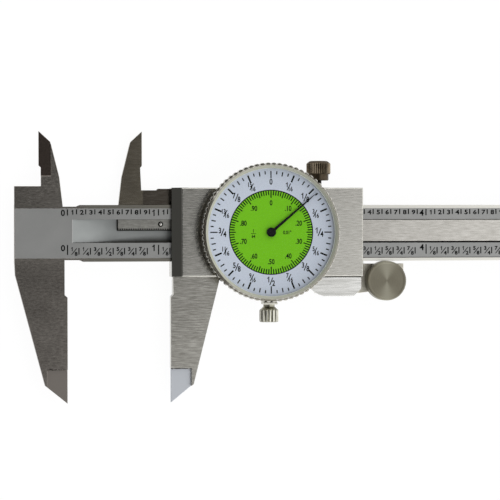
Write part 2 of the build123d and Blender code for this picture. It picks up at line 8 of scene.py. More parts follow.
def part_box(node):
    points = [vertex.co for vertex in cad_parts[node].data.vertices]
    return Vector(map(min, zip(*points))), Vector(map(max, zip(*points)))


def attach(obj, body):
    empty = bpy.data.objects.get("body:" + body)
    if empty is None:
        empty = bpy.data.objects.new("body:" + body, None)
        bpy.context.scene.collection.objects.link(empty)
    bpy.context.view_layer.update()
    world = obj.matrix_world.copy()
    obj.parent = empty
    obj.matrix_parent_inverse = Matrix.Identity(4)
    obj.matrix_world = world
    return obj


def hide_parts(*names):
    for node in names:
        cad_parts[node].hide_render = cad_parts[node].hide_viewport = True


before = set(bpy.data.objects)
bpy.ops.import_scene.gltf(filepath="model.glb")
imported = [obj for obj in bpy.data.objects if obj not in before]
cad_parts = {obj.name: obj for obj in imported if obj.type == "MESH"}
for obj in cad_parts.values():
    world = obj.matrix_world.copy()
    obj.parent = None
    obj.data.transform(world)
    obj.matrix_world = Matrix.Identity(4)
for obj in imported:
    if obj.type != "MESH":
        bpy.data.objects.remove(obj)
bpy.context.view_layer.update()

# Where things are on the caliper, in millimetres: x from the beam's zero line, y from its centre
# line, z from its scale face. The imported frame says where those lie.
mm = 0.001
inch = 25.4
beamLow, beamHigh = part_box("beam")
beam = {"headLeft": 14.7, "outerTip": 47.4, "bandHalf": 6.96, "grooveTop": 3.86, "grooveBottom": -2.66}
zeroX = beamLow[0] / mm + beam["headLeft"]
lineY = beamLow[1] / mm + beam["outerTip"]
faceZ = beamHigh[2] / mm
opening = 28.9                          # how far the jaws stand open in the frame


def spot(x, y, z=0.0):
    return Vector((zeroX + x, lineY + y, faceZ + z)) * mm


def local(point):                       # a world point in the caliper's own millimetres
    return (point.x / mm - zeroX, point.y / mm - lineY, point.z / mm - faceZ)


def cornerOf(node, end):                # 0 for the low corner of a part's box, 1 for the high one
    return local(Vector(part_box(node)[end]))


def middleOf(node):
    low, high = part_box(node)
    return local((Vector(low) + Vector(high)) / 2)


class Wire:
    def __init__(self, tree, socket):
        self.tree = tree
        self.socket = socket

    def calc(self, kind, first, second=0.0):
        return addNode(self.tree, "ShaderNodeMath", {"operation": kind}, {0: first, 1: second})

    def __add__(self, other):
        return self.calc("ADD", self, other)

    __radd__ = __add__

    def __sub__(self, other):
        return self.calc("SUBTRACT", self, other)

    def __rsub__(self, other):
        return self.calc("SUBTRACT", other, self)

    def __mul__(self, other):
        return self.calc("MULTIPLY", self, other)

    __rmul__ = __mul__

    def __truediv__(self, other):
        return self.calc("DIVIDE", self, other)

    def __rtruediv__(self, other):
        return self.calc("DIVIDE", other, self)

    def __pow__(self, other):
        return self.calc("POWER", self, other)

    def __rpow__(self, other):
        return self.calc("POWER", other, self)

    def __abs__(self):
        return self.calc("ABSOLUTE", self)


def addNode(tree, kind, settings=None, values=None, output=0):
    node = tree.nodes.new(kind)
    for key, value in (settings or {}).items():
        setattr(node, key, value)
    for key, value in (values or {}).items():
        if isinstance(value, Wire):
            tree.links.new(value.socket, node.inputs[key])
        else:
            node.inputs[key].default_value = value
    return Wire(tree, node.outputs[output]) if node.outputs else None


def outlets(wire, *keys):               # named or numbered outputs of the wire's node
    return [Wire(wire.tree, wire.socket.node.outputs[key]) for key in keys]


def ease(value, low, high):             # 0 below low, 1 above high, smooth between
    return addNode(value.tree, "ShaderNodeMapRange", {"interpolation_type": "SMOOTHSTEP"},
                   {"Value": value, "From Min": low, "From Max": high})


def between(value, low, high, soft=0.03):
    return ease(value, low - soft, low + soft) * (1 - ease(value, high - soft, high + soft))


def toward(value, mask, target):        # the value where the mask is 0, the target where it is 1
    return value + mask * (target - value)


def distance(x, y, centreX, centreY):
    return ((x - centreX) ** 2 + (y - centreY) ** 2) ** 0.5


def tone(color):                        # a screen colour of 0 to 255 as the shader wants it
    if isinstance(color, Wire):
        return color
    return tuple(((c / 255 + 0.055) / 1.055) ** 2.4 if c > 10 else c / 255 / 12.92
                 for c in color) + (1.0,)


def blend(mask, first, second):         # colours
    return addNode(mask.tree, "ShaderNodeMix", {"data_type": "RGBA"},
                   {"Factor": mask, 6: tone(first), 7: tone(second)}, 2)


def startMaterial(name):
    material = bpy.data.materials.new(name)
    material.use_nodes = True
    material.node_tree.nodes.clear()
    return material, material.node_tree


def startPlaced(name):                  # with Object coordinates in the caliper's millimetres
    material, tree = startMaterial(name)
    raw = addNode(tree, "ShaderNodeTexCoord", {}, {}, "Object")
    place = addNode(tree, "ShaderNodeVectorMath", {"operation": "MULTIPLY_ADD"},
                    {0: raw, 1: (1 / mm,) * 3, 2: (-zeroX, -lineY, -faceZ)})
    return material, place, outlets(addNode(tree, "ShaderNodeSeparateXYZ", {}, {0: place}), 0, 1, 2)


def finishMaterial(material, color, rough, metal=1.0, normal=None, alpha=1.0, specular=0.5):
    values = {"Base Color": color, "Roughness": rough, "Metallic": metal, "Alpha": alpha,
              "Specular IOR Level": specular}
    if normal is not None:
        values["Normal"] = normal
    shader = addNode(material.node_tree, "ShaderNodeBsdfPrincipled", {}, values)
    addNode(material.node_tree, "ShaderNodeOutputMaterial", {}, {"Surface": shader})
    return material


def grain(place, along, across, detail, rough, axis=0, shift=0.0):
    # Noise drawn out along one axis: along and across are the streaks' size in millimetres.
    scale = [1 / across] * 3
    scale[axis] = 1 / along
    moved = addNode(place.tree, "ShaderNodeMapping", {},
                    {"Vector": place, "Location": (shift,) * 3, "Scale": tuple(scale)})
    return addNode(place.tree, "ShaderNodeTexNoise", {},
                   {"Vector": moved, "Scale": 1.0, "Detail": detail, "Roughness": rough})


def bumped(height, depth):              # depth in millimetres
    return addNode(height.tree, "ShaderNodeBump", {},
                   {"Height": height, "Distance": depth * mm, "Strength": 1.0})


def steelGrain(place, look):            # streaks along one axis, and wide soft clouds
    streak = grain(place, look["along"], look["across"], 3.0, 0.5, axis=look["axis"])
    cloud = grain(place, *look["clouds"], 3.0, 0.5, shift=17.0)
    streakPart, cloudPart = look["parts"]
    mask = (streak * streakPart + cloud * cloudPart - 0.5) * look["contrast"] + 0.5
    color = blend(mask, look["dark"], look["light"])
    rough = look["rough"] + (streak - 0.5) * look["roughSwing"] + (cloud - 0.5) * look["cloudSwing"]
    return color, rough, streak


def brushedMetal(name, look):
    material, place, _ = startPlaced(name)
    color, rough, streak = steelGrain(place, look)
    return finishMaterial(material, color, rough, normal=bumped(streak, look["depth"]))


def knurledMetal(name, look, centreX, centreZ):
    # A knob whose axis runs along y: dark valleys, worn bright ridges, and painted shade on the neck
    material, place, (x, y, z) = startPlaced(name)
    reach = distance(x, z, centreX, centreZ)
    cloud = grain(place, look["cloud"], look["cloud"], 3.0, 0.6)
    worn = ease(reach, look["valley"], look["ridge"]) * (cloud * look["wornSwing"] + look["wornBase"])
    color = blend(cloud, look["dark"], look["light"])
    color = blend(worn, color, look["worn"])
    # Painted shade on the neck, where the knob shades it
    color = blend(1 - ease(reach, look["neck"], look["neck"] + 0.1), color, look["shade"])
    return finishMaterial(material, color, look["rough"], normal=bumped(cloud, look["depth"]))


def turnedMetal(name, look, centreX, centreY):
    # Fine rings about one centre, as a lathe leaves them, and a painted bow-tie highlight
    material, place, (x, y, z) = startPlaced(name)
    reach = distance(x, y, centreX, centreY)
    rings = addNode(place.tree, "ShaderNodeTexNoise", {"noise_dimensions": "1D"},
                    {"W": reach / look["across"], "Scale": 1.0, "Detail": 3.0, "Roughness": 0.6})
    cloud = grain(place, look["cloud"], look["cloud"], 3.0, 0.5, shift=7.0)
    paintedBowTie = abs(y - centreY) / (reach + 0.01)                # a painted highlight: the sheen of turned rings, a narrow bow tie
    ringPart, cloudPart = look["parts"]
    mask = rings * ringPart + cloud * cloudPart + paintedBowTie ** look["narrow"] * look["paintedBowTie"]
    color = blend(mask, look["dark"], look["light"])
    rough = look["rough"] + (cloud - 0.5) * look["roughSwing"]
    return finishMaterial(material, color, rough, normal=bumped(rings, look["depth"]))


def dressNode(node, material):
    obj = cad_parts[node]
    if not obj.material_slots:
        obj.data.materials.append(material)
    for slot in obj.material_slots:
        slot.material = material


def nothingSelected():
    if bpy.context.mode != "OBJECT":
        bpy.ops.object.mode_set(mode="OBJECT")
    bpy.ops.object.select_all(action="DESELECT")


def only(*pieces):
    nothingSelected()
    for piece in pieces:
        piece.select_set(True)
    bpy.context.view_layer.objects.active = pieces[0]


def applied(obj):                       # place, turn and scale go into the mesh
    only(obj)
    bpy.ops.object.transform_apply(location=True, rotation=True, scale=True)
    return obj


def grouped(pieces):
    only(*pieces)
    bpy.ops.object.join()
    return bpy.context.active_object


def discard(pieces):
    only(*pieces)
    bpy.ops.object.delete()


def copied(stock, matrix):              # a copy with its own mesh
    piece = stock.copy()
    piece.data = stock.data.copy()
    bpy.context.collection.objects.link(piece)
    piece.matrix_world = matrix
    return piece


def finishPiece(obj, name, material, body, slot, *nodes):
    applied(obj)
    obj.name = name
    obj.data.name = name
    obj.data.materials.clear()
    obj.data.materials.append(material)
    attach(obj, body)
    if nodes:
        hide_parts(*nodes)
    print(name, "made")


def selectWhere(obj, test, kind="VERT"):
    bpy.ops.object.mode_set(mode="EDIT")
    bpy.ops.mesh.select_mode(type=kind)
    bpy.ops.mesh.select_all(action="DESELECT")
    shape = bmesh.from_edit_mesh(obj.data)
    for part in {"VERT": shape.verts, "EDGE": shape.edges}[kind]:
        part.select = bool(test(part))
    shape.select_flush_mode()
    bmesh.update_edit_mesh(obj.data)


def turned(name, profile, sides, closed=False):
    # A turned shape about z: the first circle is pulled up and resized to each (radius, height).
    nothingSelected()
    radius, height = profile[0]
    bpy.ops.mesh.primitive_circle_add(vertices=sides, radius=radius * mm, location=(0, 0, height * mm))
    obj = bpy.context.active_object
    bpy.ops.object.transform_apply(location=True)
    bpy.ops.object.mode_set(mode="EDIT")
    bpy.ops.mesh.select_all(action="SELECT")
    if not closed:
        bpy.ops.mesh.edge_face_add()
        bpy.ops.mesh.select_mode(type="EDGE")
    for (radius, height), (nextRadius, nextHeight) in zip(profile, profile[1:]):
        if not closed and (radius, height) == profile[0]:
            bpy.ops.mesh.extrude_region_move()
        else:
            bpy.ops.mesh.extrude_edges_move()
        ratio = nextRadius / radius
        bpy.ops.transform.resize(value=(ratio, ratio, 1), center_override=(0, 0, 0))
        bpy.ops.transform.translate(value=(0, 0, (nextHeight - height) * mm))
    if not closed:
        bpy.ops.mesh.edge_face_add()
    bpy.ops.mesh.select_all(action="SELECT")
    bpy.ops.mesh.remove_doubles(threshold=1e-7)
    bpy.ops.mesh.normals_make_consistent(inside=False)
    bpy.ops.object.mode_set(mode="OBJECT")
    obj.name = name
    return obj


def ridged(obj, look, radius, low, high):
    # Pulls in the corners between the ridges. Each ridge has a few corners of the turned shape, and
    # pulls says which of them go in, and by what share of the depth.
    each = look["cornersEach"]
    sides = look["ridges"] * each
    inner, outer = (radius + reach for reach in look["band"])
    for valley, pull in look["pulls"]:

        def inValley(vert):
            reach = math.hypot(vert.co.x, vert.co.y) / mm
            if not inner < reach < outer or not low < vert.co.z / mm < high:
                return False
            return round(math.atan2(vert.co.y, vert.co.x) / (2 * math.pi) * sides) % each in valley

        selectWhere(obj, inValley)
        share = 1 - look["ridgeDepth"] * pull / radius
        bpy.ops.transform.resize(value=(share, share, 1), center_override=(0, 0, 0))
        bpy.ops.object.mode_set(mode="OBJECT")


def sharpened(obj, degrees):            # edges steeper than this stay sharp
    only(obj)
    bpy.ops.object.shade_smooth_by_angle(angle=math.radians(degrees))
    return obj


def block(size, place, turn=0.0):       # a box: its size in millimetres, its place in metres
    nothingSelected()
    bpy.ops.mesh.primitive_cube_add(size=1)
    obj = bpy.context.active_object
    obj.scale = [side * mm for side in size]
    obj.rotation_euler.z = turn
    obj.location = place
    return applied(obj)


# Finishes: colours on the screen, the streaks' size in millimetres and their depth
groundSteel = {
    "dark": (152, 146, 138), "light": (198, 192, 184), "rough": 0.2, "roughSwing": 0.06,
    "cloudSwing": 0.05, "along": 1.1, "across": 0.42, "axis": 0, "depth": 0.0015, "contrast": 1.9,
    "clouds": (9.0, 6.0), "parts": (0.8, 0.2),
}
jawSteel = dict(groundSteel, dark=(148, 145, 137), light=(218, 216, 208), along=2.8, across=0.36,
                contrast=2.2)
plateSteel = dict(groundSteel, dark=(164, 162, 155), light=(228, 226, 219), along=2.2, across=0.28,
                  contrast=1.7)
apronSteel = dict(groundSteel, dark=(196, 195, 190), light=(255, 255, 252), along=6.0, contrast=2.4)
barSteel = dict(groundSteel, dark=(162, 159, 152), light=(228, 225, 219), along=2.6, contrast=1.6)
plainSteel = dict(groundSteel, dark=(158, 155, 149), light=(186, 183, 176), rough=0.3)
pinSteel = dict(plainSteel, dark=(200, 198, 192), light=(240, 238, 232), rough=0.25)
rackSteel = dict(groundSteel, dark=(140, 139, 133), light=(186, 185, 179), rough=0.35)
bracketSteel = dict(groundSteel, dark=(206, 202, 188), light=(238, 234, 222), rough=0.5)
darkSteel = dict(groundSteel, dark=(72, 64, 54), light=(118, 108, 94), rough=0.34, along=1.2,
                 across=0.5, depth=0.004)
# The last two numbers of the roller's look shape a painted bow-tie highlight
rollerSteel = dict(darkSteel, dark=(106, 100, 85), light=(182, 179, 162), rough=0.36, across=0.14,
                   cloud=2.5, parts=(0.35, 0.15), narrow=8.0, paintedBowTie=0.45)
brassLook = dict(groundSteel, dark=(150, 118, 66), light=(205, 172, 108), rough=0.33, along=3.0,
                 across=0.4)
bezelLook = dict(groundSteel, dark=(190, 188, 180), light=(224, 222, 215), rough=0.24, along=0.8,
                 across=0.5, contrast=1.0)
knobSteel = {
    "dark": (48, 40, 32), "light": (98, 88, 72), "worn": (168, 154, 134), "shade": (24, 21, 18),
    "rough": 0.36, "depth": 0.004, "cloud": 1.1, "wornSwing": 0.8, "wornBase": 0.6,
    "valley": 3.2, "ridge": 3.38, "neck": 1.5,
}
clampSteel = dict(knobSteel, dark=(128, 126, 110), light=(186, 184, 168), worn=(232, 230, 218),
                  shade=(60, 58, 52), rough=0.28, valley=2.5, ridge=2.68, neck=1.2)

# The beam's scale face and groove; a pair of numbers is where a mask starts and where it is full
scaleBand = {
    "dark": (146, 147, 146), "light": (190, 190, 188), "rough": 0.42, "edge": 0.03,
    "level": (-0.25, -0.15), "clouds": (9.0, 7.0), "fine": (0.25, 0.2), "fineDepth": 0.4,
    "land": (242, 240, 232), "landLeftShade": (142, 139, 130), "landFade": (28.0, 75.0), "landRough": 0.3,
    "landLevel": (-0.5, -0.42), "landFrom": (4.0, 6.0),
    "floorDark": (141, 144, 143), "floorLight": (177, 180, 179), "floorRough": 0.5,
    "floorLevel": (-2.65, -0.06), "floorFrom": (1.0, 1.2), "floorSlack": 0.03,
    # shade and rackShade: painted shade along the groove's lower wall and a painted shadow at the rack
    "shade": (66, 66, 62), "shadeStart": 0.3, "shadeGrowth": 2.2, "shadeFrom": (3.0, 26.0),
    "wave": 0.45, "waveSway": 0.25,
    "rackShade": (44, 43, 41), "rackLeft": (-0.45, -0.15), "rackFoot": (-0.45, -0.1),
    # The outline colour also paints shade in the gap at the groove's lower lip and on the depth bar's sides
    "outline": (30, 29, 28), "outlineWidth": 0.12, "outlineFrom": (25.0, 30.0),
    "lip": 0.14, "lipOver": 0.02, "lipFrom": (55.0, 60.0),
}
rivets = {"first": 26.12, "spacing": 34.5, "count": 5, "y": 2.53, "pin": 0.42, "gap": 0.8,
          "gapTone": (30, 29, 27)}
# The jaws' separately ground faces, and painted shade on and near the jaws: heights of their surfaces, and
# where they begin
facets = {
    "nib": (140, 134, 128), "brightNib": (216, 220, 226), "nibRough": 0.42, "nibTop": -37.9,
    "nibLevel": (-3.0, -1.4), "nibWidth": (-0.1, 5.75), "scallop": 0.5, "scallopSway": 0.5,
    # line is a painted shadow along the step above each nib
    "line": (46, 43, 40), "lineWidth": 0.16, "lineLevel": (-1.6, -1.5),
    "knife": (120, 108, 100), "knifeLevel": (-1.4, -1.2), "knifeFoot": (15.9, 16.0),
    "lowJawShade": (96, 88, 84), "lowJaw": (-10.0, -7.0), "lowPart": 0.28,
    "backJawShade": (143, 135, 120), "backJawFoot": (7.0, 7.2), "backJawFront": (-2.18, -2.1),
    "neck": (105, 97, 88), "neckLeft": (21.1, 21.4), "shadeBase": 1.15, "shadeSwing": 0.4,
    "plateLevel": (0.0, 0.1), "apronLeft": (62.0, 64.0), "plateFootShade": (34, 32, 30), "plateFootEdges": (-12.55, -12.1),
    "slope": (118, 117, 111), "slopeTop": (2.62, 2.74), "slopeRight": (33.0, 34.0),
}


def nibMasks(place, x, y, z, faceX, side):
    # The thin tip of an outside jaw, side 1 where it lies right of its measuring face, and a painted
    # shadow along the cutter's step above it
    level = between(z, *facets["nibLevel"])
    wave = grain(place, facets["scallop"], facets["scallop"], 1.0, 0.5, shift=3.0)
    top = y - facets["nibTop"] + (wave - 0.5) * facets["scallopSway"]
    inWidth = between((x - faceX) * side, *facets["nibWidth"])
    tip = level * inWidth * (1 - ease(top, -0.05, 0.05))
    line = inWidth * (1 - ease(abs(top), facets["lineWidth"] / 2, facets["lineWidth"]))
    return tip, line * ease(z, *facets["lineLevel"])


def rackMaterial():
    # A dark ring round each rivet
    material, place, (x, y, z) = startPlaced("rackSteel")
    color, rough, streak = steelGrain(place, rackSteel)
    step = (x - rivets["first"]) / rivets["spacing"]
    reach = distance((step - step.calc("ROUND", step)) * rivets["spacing"], y, 0.0, rivets["y"])
    color = blend(1 - ease(reach, rivets["gap"] - 0.08, rivets["gap"]), color, rivets["gapTone"])
    return finishMaterial(material, color, rough, normal=bumped(streak, rackSteel["depth"]))


def beamMaterial():
    look = scaleBand
    half, bottom, top = beam["bandHalf"], beam["grooveBottom"], beam["grooveTop"]
    rackX, rackY, _ = cornerOf("rack", 0)
    material, place, (x, y, z) = startPlaced("beamSteel")
    color, rough, streak = steelGrain(place, groundSteel)
    cloud = grain(place, *look["clouds"], 3.0, 0.5, shift=31.0)
    fine = grain(place, *look["fine"], 2.0, 0.5, shift=5.0)

    tip, line = nibMasks(place, x, y, z, 0.0, -1)
    knife = between(z, *facets["knifeLevel"]) * ease(y, *facets["knifeFoot"])
    color = blend(tip, color, facets["nib"])
    color = blend(line, color, facets["line"])
    color = blend(knife, color, facets["knife"])
    rough = toward(rough, tip, facets["nibRough"])
    # Painted shade: the lower fixed jaw darker
    lowJaw = 1 - ease(y, *facets["lowJaw"])
    color = blend(lowJaw * (1 - tip) * facets["lowPart"], color, facets["lowJawShade"])

    # The lands beside the scale face, with painted shade darkening them towards the left
    onLand = ease(abs(y), half, half + 0.05) * ease(z, *look["landLevel"]) * ease(x, *look["landFrom"])
    color = blend(onLand, color, blend(ease(x, *look["landFade"]), look["landLeftShade"], look["land"]))
    rough = toward(rough, onLand, look["landRough"])
    onBand = ease(half + look["edge"] - abs(y), 0.0, 0.04) * ease(z, *look["level"])
    color = blend(onBand, color, blend(cloud * 0.5 + fine * 0.5, look["dark"], look["light"]))
    rough = toward(rough, onBand, look["rough"])

    # Painted shade lies along the groove's lower wall, wider to the right, and a painted shadow round the
    # rack
    inGroove = between(z, *look["floorLevel"], 0.04) * ease(x, *look["floorFrom"])
    inGroove = inGroove * between(y, bottom - look["floorSlack"], top + look["floorSlack"], 0.01)
    wave = grain(place, look["wave"], look["wave"], 1.0, 0.5, shift=9.0)
    wide = look["shadeStart"] + ease(x, *look["shadeFrom"]) * look["shadeGrowth"]
    low = (y - bottom + (wave - 0.5) * look["waveSway"]) / wide
    floor = blend(cloud, look["floorDark"], look["floorLight"])
    floor = blend(ease(low, 0.0, 1.0), look["shade"], floor)
    rackShadow = ease(x, *(rackX + edge for edge in look["rackLeft"]))
    rackShadow = rackShadow * ease(y, *(rackY + edge for edge in look["rackFoot"]))
    color = blend(inGroove, color, blend(rackShadow, floor, look["rackShade"]))
    rough = toward(rough, inGroove, look["floorRough"])

    # A dark line along the scale face's lower edge, and painted shade along the groove's lower lip, in the
    # gap beside the depth bar
    outline = 1 - ease(abs(y + half), look["outlineWidth"] / 2, look["outlineWidth"])
    outline = outline * ease(x, *look["outlineFrom"])
    lip = between(y, bottom - look["lip"], bottom + look["lipOver"], 0.01) * ease(x, *look["lipFrom"])
    color = blend(1 - (1 - outline) * (1 - lip), color, look["outline"])
    height = streak * (1 - onBand) + fine * onBand * look["fineDepth"]
    return finishMaterial(material, color, rough, normal=bumped(height, groundSteel["depth"]))


def frameMaterial():
    # Plate, jaws and apron each have their own brushing; painted shade lies on the recessed back jaw and its
    # neck, on the plate's left bevel and on the apron at the plate's foot
    material, place, (x, y, z) = startPlaced("sliderSteel")
    color, rough, streak = steelGrain(place, jawSteel)
    plate, plateRough, plateStreak = steelGrain(place, plateSteel)
    apron, apronRough, apronStreak = steelGrain(place, apronSteel)
    onPlate = ease(z, *facets["plateLevel"])
    onApron = (1 - onPlate) * ease(x, *facets["apronLeft"])
    tip, line = nibMasks(place, x, y, z, opening, 1)
    color = blend(tip, color, facets["brightNib"])
    color = blend(line, color, facets["line"])
    # Painted shade on the back half of the moving inside jaw and on its neck, recessed under the plate and
    # the dial
    backJawShade = ease(y, *facets["backJawFoot"]) * (1 - ease(z, *facets["backJawFront"]))
    recessShade = blend(ease(x, *facets["neckLeft"]), facets["backJawShade"], facets["neck"])
    color = blend(backJawShade * (facets["shadeBase"] - streak * facets["shadeSwing"]), color, recessShade)
    # Painted shade: a dark line on the apron at the foot of the plate's raised wall
    apron = blend(between(y, *facets["plateFootEdges"], 0.05), apron, facets["plateFootShade"])
    # Painted shade on the plate's left bevel, which faces the dark side
    slope = (1 - ease(z, *facets["slopeTop"])) * (1 - ease(x, *facets["slopeRight"]))
    plate = blend(slope, plate, facets["slope"])
    color = blend(onApron, blend(onPlate, color, plate), apron)
    rough = toward(rough, tip, facets["nibRough"])
    rough = rough + onPlate * (plateRough - rough) + onApron * (apronRough - rough)
    height = streak + onPlate * (plateStreak - streak) + onApron * (apronStreak - streak)
    return finishMaterial(material, color, rough, normal=bumped(height, groundSteel["depth"]))


def barMaterial():
    # The depth bar's sides are painted dark, as shade down in the groove
    material, place, (x, y, z) = startPlaced("depthBarSteel")
    color, rough, streak = steelGrain(place, barSteel)
    inner = between(y, cornerOf("depth_bar", 0)[1] + 0.2, cornerOf("depth_bar", 1)[1] - 0.05)
    color = blend(inner, scaleBand["outline"], color)
    return finishMaterial(material, color, rough, normal=bumped(streak, barSteel["depth"]))


dial = {
    "ring": (228, 236, 249), "ringShade": (212, 221, 237), "ink": (6, 8, 6), "rough": 0.6,
    "green": (136, 220, 34), "greenShade": (121, 206, 27), "greenRadius": 11.65, "lineWidth": 0.28,
    "speckle": 0.5, "soft": 0.02,
    "wall": (240, 244, 244), "wallEdge": (17.72, 17.76),
    "slope": (194, 193, 178), "slopeEdge": (18.42, 18.48), "slopeRough": 0.6, "slopePaint": 0.85,
    # gap is painted shade between the bezel's ridges and under the ring
    "cone": (170, 167, 156), "coneFoot": (10.22, 10.3), "gap": (132, 128, 116), "ridges": (18.95, 19.2),
}
dialLow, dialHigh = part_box("dial_face")
dialX, dialY, dialTop = cornerOf("dial_face", 1)
dialX -= (dialHigh[0] - dialLow[0]) / 2 / mm
dialY -= (dialHigh[1] - dialLow[1]) / 2 / mm


def dialMaterial():
    material, place, (x, y, z) = startPlaced("dialPaint")
    edge, soft, line = dial["greenRadius"], dial["soft"], dial["lineWidth"] / 2
    reach = distance(x, y, dialX, dialY)
    speckle = grain(place, dial["speckle"], dial["speckle"], 3.0, 0.6)
    ring = blend(speckle, dial["ringShade"], dial["ring"])
    green = blend(speckle, dial["greenShade"], dial["green"])
    color = blend(ease(reach, edge - soft, edge + soft), green, ring)
    color = blend(1 - ease(abs(reach - edge), line - soft, line + soft), color, dial["ink"])
    return finishMaterial(material, color, dial["rough"], 0.0, specular=0.15)


def bezelMaterial():
    # Satin outside, with a matt painted slope inside the rim and painted shade between the ridges
    material, place, (x, y, z) = startPlaced("bezelSteel")
    color, rough, streak = steelGrain(place, bezelLook)
    reach = distance(x, y, dialX, dialY)
    onCone = ease(z, *dial["coneFoot"])
    color = blend(onCone, color, dial["cone"])
    slope = 1 - ease(reach, *dial["slopeEdge"])
    wall = 1 - ease(reach, *dial["wallEdge"])
    color = blend(slope, color, blend(wall, dial["slope"], dial["wall"]))
    rough = toward(rough, slope, dial["slopeRough"])
    # Painted shade between the ridges and on the ring's underside
    color = blend(onCone + ease(reach, *dial["ridges"]), dial["gap"], color)
    return finishMaterial(material, color, rough, 1 - slope * dial["slopePaint"],
                          bumped(streak, bezelLook["depth"]))


def crystalMaterial():
    # So clear that it hardly shows over the black figures
    material, _ = startMaterial("clearCrystal")
    return finishMaterial(material, tone((46, 50, 52)), 0.02, 0.0, alpha=0.03)


def blackMaterial(name, size, rough, specular):
    material, place, _ = startPlaced(name)
    color = blend(grain(place, size, size, 2.0, 0.5), (6, 6, 6), (20, 20, 20))
    return finishMaterial(material, color, rough, 0.0, specular=specular)


lockX, _, lockZ = middleOf("lock_screw")
clampX, _, clampZ = middleOf("bezel_clamp_screw")
rollX, rollY, _ = middleOf("thumb_roller")

groundFinish = brushedMetal("groundSteel", groundSteel)
plainFinish = brushedMetal("plainSteel", plainSteel)
bracketFinish = brushedMetal("bracketSteel", bracketSteel)
darkFinish = brushedMetal("darkSteel", darkSteel)
brassFinish = brushedMetal("brassStrip", brassLook)
brightFinish = brushedMetal("brightPins", pinSteel)
caseFinish = brushedMetal("bezelSatin", bezelLook)
ringFinish = bezelMaterial()
turnedFinish = turnedMetal("turnedRoller", rollerSteel, rollX, rollY)
lockFinish = knurledMetal("lockKnobSteel", knobSteel, lockX, lockZ)
clampFinish = knurledMetal("clampKnobSteel", clampSteel, clampX, clampZ)
paintFinish = blackMaterial("blackPaint", 0.3, 0.5, 0.15)
inkFinish = blackMaterial("scaleInk", 0.2, 0.7, 0.1)
beamFinish = beamMaterial()
frameFinish = frameMaterial()
barFinish = barMaterial()
for nodeName, finish in {
    "beam": beamFinish, "rack": rackMaterial(), "end_stop": plainFinish, "slider_frame": frameFinish,
    "back_plate": groundFinish, "gib": brassFinish, "lock_screw": lockFinish, "depth_bar": barFinish,
    "roller_bracket": bracketFinish, "thumb_roller": darkFinish, "dial_case": caseFinish,
    "rack_pinion": plainFinish, "drive_gear": brassFinish, "centre_gear": brassFinish,
    "bridge": brassFinish, "pointer": paintFinish, "bezel": ringFinish, "dial_face": dialMaterial(),
    "crystal": crystalMaterial(), "clamp_shoe": plainFinish, "bezel_clamp_screw": clampFinish,
}.items():
    dressNode(nodeName, finish)
print("finishes set")

# Printed figures and lines, thin closed shapes that stand on the metal
ink = {"thick": 0.012, "sink": 0.004, "curveSteps": 3}
inkHeight = ink["thick"] / 2 - ink["sink"]
flag = {"from": (0.1, 0.44), "to": (-0.28, 0.17), "thin": 0.8}     # shares of a one's height and line


def figure(text, look):
    # One figure or word, centred on the origin, as tall as asked
    nothingSelected()
    bpy.ops.object.text_add()
    obj = bpy.context.active_object
    obj.data.body = text
    obj.data.resolution_u = ink["curveSteps"]
    obj.data.offset = look["bold"]
    obj.data.extrude = 0.5
    bpy.ops.object.convert(target="MESH")
    obj = bpy.context.active_object
    corners = [vert.co for vert in obj.data.vertices]
    low = Vector(min(c[i] for c in corners) for i in range(3))
    high = Vector(max(c[i] for c in corners) for i in range(3))
    size = look["digit"] * mm / (high.y - low.y)
    obj.scale = (size * look["stretch"], size, ink["thick"] * mm)
    obj.location = [-(low[i] + high[i]) / 2 * obj.scale[i] for i in range(3)]
    return applied(obj)


def stroke(start, end, width):
    # A straight printed line between two places in millimetres
    first, last = Vector(start), Vector(end)
    middle = (first + last) / 2 * mm
    return block(((last - first).length, width, ink["thick"]), (middle.x, middle.y, 0),
                 math.atan2(last.y - first.y, last.x - first.x))


def numeral(text, look):
    # A one has a long flag, as the beam's scales have it
    if text != "1":
        return figure(text, look)
    height = look["digit"]
    stem = stroke((0, -height / 2), (0, height / 2), look["line"])
    start, end = ([share * height for share in flag[key]] for key in ("from", "to"))
    return grouped([stem, stroke(start, end, look["line"] * flag["thin"])])


def fraction(part, parts, look):
    # In its lowest terms: numerator up on the left, denominator down on the right, a slanted line
    common = math.gcd(part, parts)
    wide, tall, lean, shift = look["wide"] / 2, look["tall"] / 2, look["lean"], look["slashX"]
    upper = numeral(str(part // common), look)
    lower = figure(str(parts // common), look)
    upper.location = ((look["topX"] - wide) * mm, (tall - look["digit"] / 2) * mm, 0)
    lower.location = ((wide - look["lowX"]) * mm, (look["digit"] / 2 - tall) * mm, 0)
    applied(upper)
    applied(lower)
    rise = tall * look["slash"]
    return grouped([upper, lower, stroke((shift - lean, -rise), (shift + lean, rise), look["line"])])


def printed(stock, place, turn=0.0):
    return copied(stock, Matrix.Translation(place) @ Matrix.Rotation(turn, 4, "Z"))


def finishPrint(pieces, stock, name, body, slot):
    discard(stock)
    finishPiece(grouped(pieces), name, inkFinish, body, slot)


